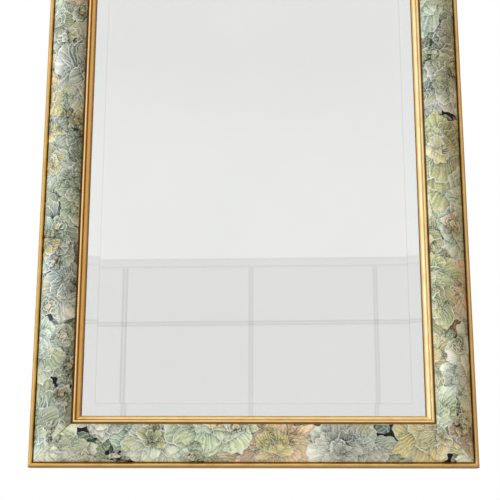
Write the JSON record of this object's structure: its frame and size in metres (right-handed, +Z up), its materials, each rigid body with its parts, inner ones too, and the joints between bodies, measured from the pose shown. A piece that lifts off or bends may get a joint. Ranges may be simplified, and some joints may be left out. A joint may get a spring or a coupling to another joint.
{
  "type": "wall mirror",
  "caption": "Bevelled wall mirror in a mitred cushion frame with a printed satin cover, gilt edge and gilt liner, hung by two D rings.",
  "frame": {"origin": "centre of the wall plane: the middle of the frame's width and height, in the plane of the bumpers' faces", "axes": "+X to the viewer's right, +Z up, +Y into the wall; the mirror faces -Y"},
  "size_m": [0.711, 0.044, 1.016],
  "materials": {
    "core_wood": "matte",
    "printed_satin": "satin",
    "gilt_edge": "satin",
    "gilt_liner": "satin",
    "plate_glass": "gloss",
    "silvering": "polished",
    "shim_board": "matte",
    "corrugated_card": "matte",
    "hardboard": "matte",
    "bare_steel": "satin",
    "plated_steel": "satin",
    "bumper_rubber": "matte"
  },
  "bodies": {
    "frame": {"rail_bottom": "core_wood", "cover_bottom": "printed_satin", "edge_bottom": "gilt_edge", "liner_bottom": "gilt_liner", "rail_right": "core_wood", "cover_right": "printed_satin", "edge_right": "gilt_edge", "liner_right": "gilt_liner", "rail_top": "core_wood", "cover_top": "printed_satin", "edge_top": "gilt_edge", "liner_top": "gilt_liner", "rail_left": "core_wood", "cover_left": "printed_satin", "edge_left": "gilt_edge", "liner_left": "gilt_liner", "mirror_glass": "plate_glass", "mirror_silvering": "silvering", "glass_edge_shims": "shim_board", "card_pad": "corrugated_card", "backing_board": "hardboard", "glazing_points": "bare_steel", "corner_v_nails": "bare_steel", "hanger_screws": "plated_steel", "hanger_strap_left": "plated_steel", "hanger_strap_right": "plated_steel", "bumper_bottom_left": "bumper_rubber", "bumper_bottom_right": "bumper_rubber", "bumper_top_left": "bumper_rubber", "bumper_top_right": "bumper_rubber"},
    "ring_left": {"hanger_ring_left": "plated_steel"},
    "ring_right": {"hanger_ring_right": "plated_steel"}
  },
  "joints": [
    {"name": "ring_left_swing", "type": "hinge", "parent": "frame", "child": "ring_left", "pos_m": [-0.3155, -0.00342, 0.254], "axis": [1, 0, 0], "range_deg": [0, 180]},
    {"name": "ring_right_swing", "type": "hinge", "parent": "frame", "child": "ring_right", "pos_m": [0.3155, -0.00342, 0.254], "axis": [1, 0, 0], "range_deg": [0, 180]}
  ]
}
